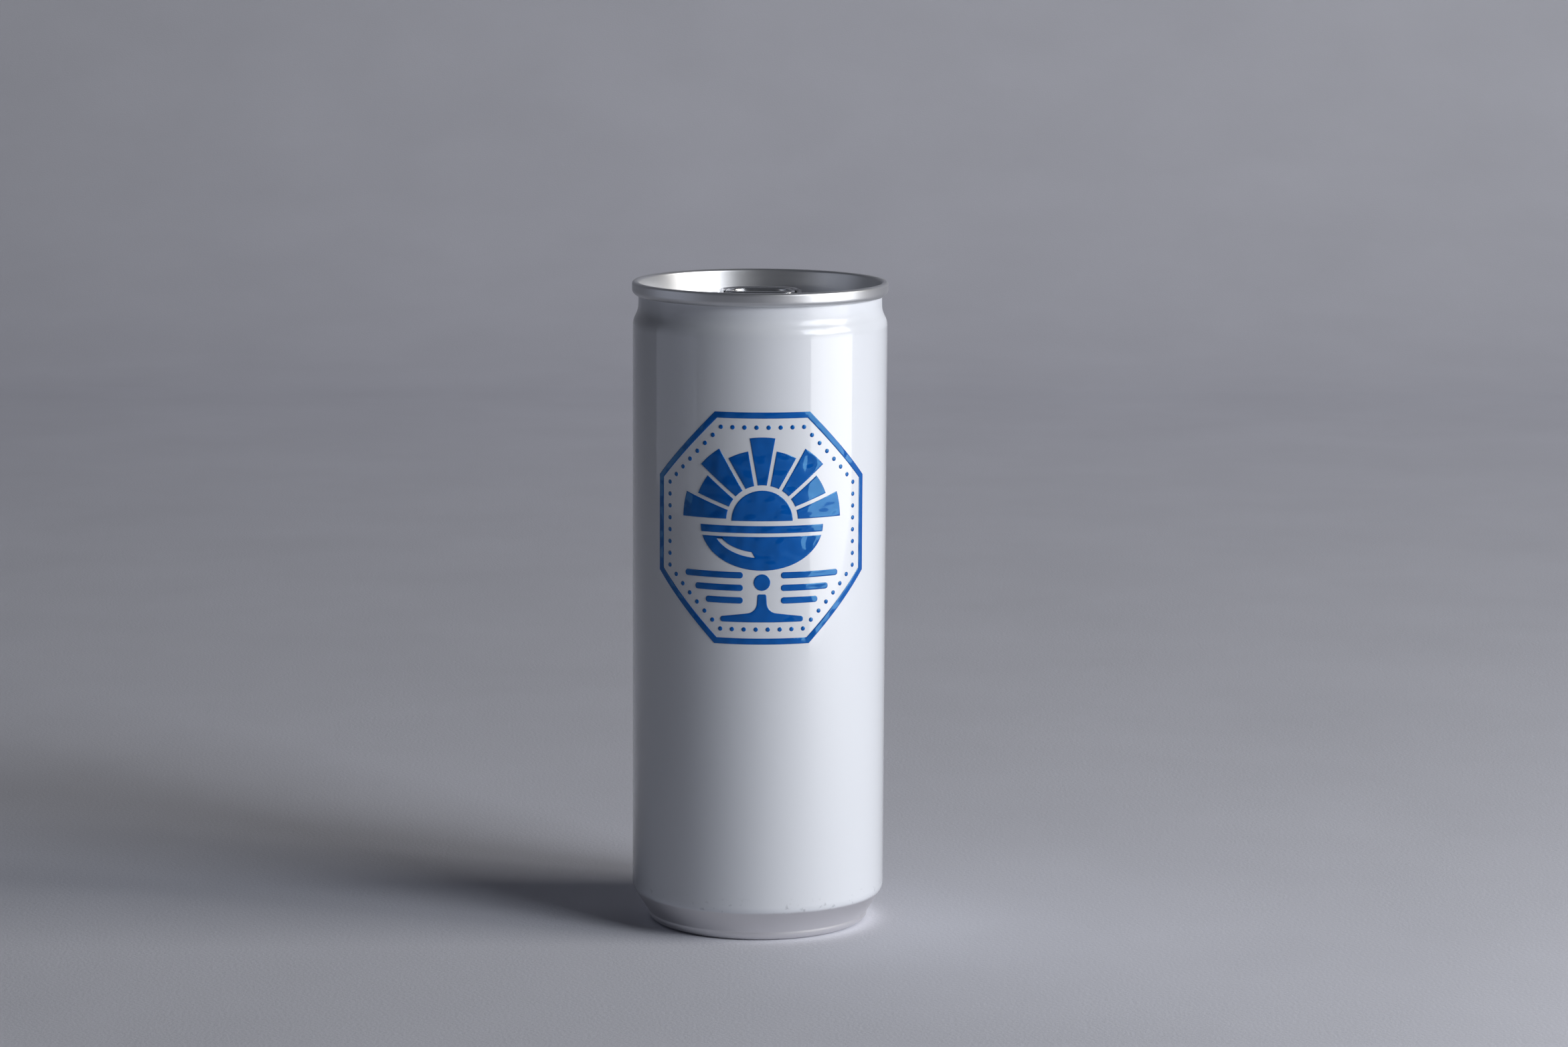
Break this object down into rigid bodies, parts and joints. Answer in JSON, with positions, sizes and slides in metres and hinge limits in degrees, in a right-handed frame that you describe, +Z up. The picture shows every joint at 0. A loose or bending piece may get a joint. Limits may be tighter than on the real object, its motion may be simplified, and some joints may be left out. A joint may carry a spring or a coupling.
{
  "type": "cocktail can",
  "caption": "Shut slim aluminium drinks can for a ready-mixed cocktail: necked top, double-seamed end with a stay-on tab, and a domed base it stands on.",
  "frame": {"origin": "middle of the base, at the height of the ring that the can stands on", "axes": "+Z up along the can's axis, -Y towards the printed front and the pouring side of the end"},
  "size_m": [0.0532, 0.0532, 0.1351],
  "materials": {
    "white_lacquer": "gloss",
    "end_aluminium": "satin",
    "tab_aluminium": "satin"
  },
  "bodies": {
    "root": {"can_body": "white_lacquer", "can_end": "end_aluminium", "pull_tab": "tab_aluminium"}
  },
  "joints": []
}
